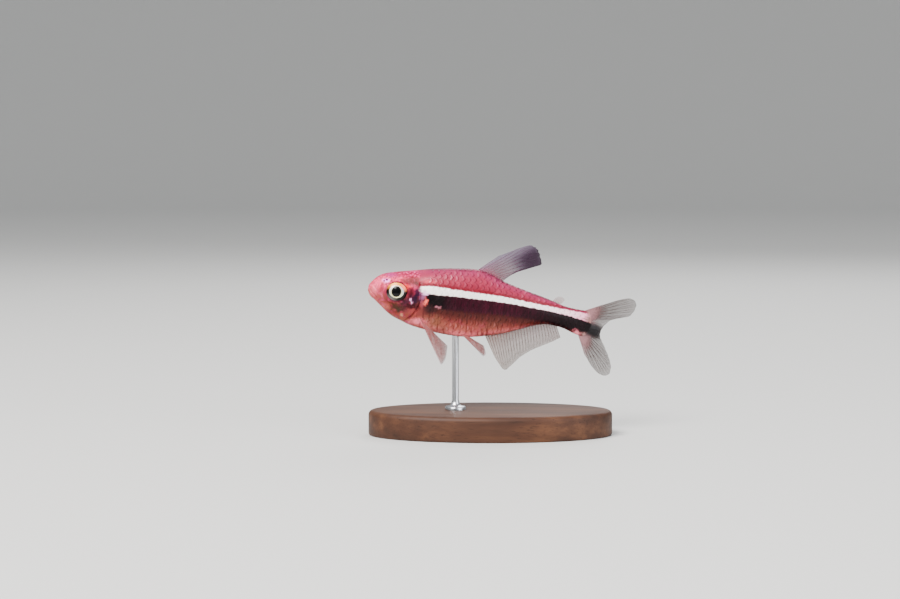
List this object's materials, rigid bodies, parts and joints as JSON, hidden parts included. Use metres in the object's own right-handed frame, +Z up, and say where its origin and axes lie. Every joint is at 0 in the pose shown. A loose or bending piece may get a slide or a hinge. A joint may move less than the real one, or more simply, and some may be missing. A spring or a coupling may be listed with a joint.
{
  "type": "black neon tetra",
  "caption": "Life-size black neon tetra, head a little up and tail curved aside, held by a thin rod over an oval wooden base.",
  "frame": {"origin": "centre of the stand base's underside", "axes": "+Z up; the fish lies along X with its snout towards -X, its left side faces -Y"},
  "size_m": [0.0391, 0.019, 0.0272],
  "materials": {
    "skin": "scaled skin, pink and silver with a white stripe over a black band, moist sheen",
    "eye": "silver iris with an orange arc above, black pupil, clear glossy surface",
    "fin": "thin ray-stiffened membrane, nearly clear",
    "wood": "dark walnut, satin oil",
    "steel": "fine brushed steel"
  },
  "bodies": {
    "root": {"head": "skin", "lower_jaw": "skin", "torso": "skin", "tail": "skin", "left_eye": "eye", "right_eye": "eye", "dorsal_fin": "fin", "adipose_fin": "fin", "anal_fin": "fin", "caudal_fin_upper": "fin", "caudal_fin_lower": "fin", "left_pectoral_fin": "fin", "right_pectoral_fin": "fin", "left_pelvic_fin": "fin", "right_pelvic_fin": "fin", "stand_rod": "steel", "stand_base": "wood"}
  },
  "joints": []
}
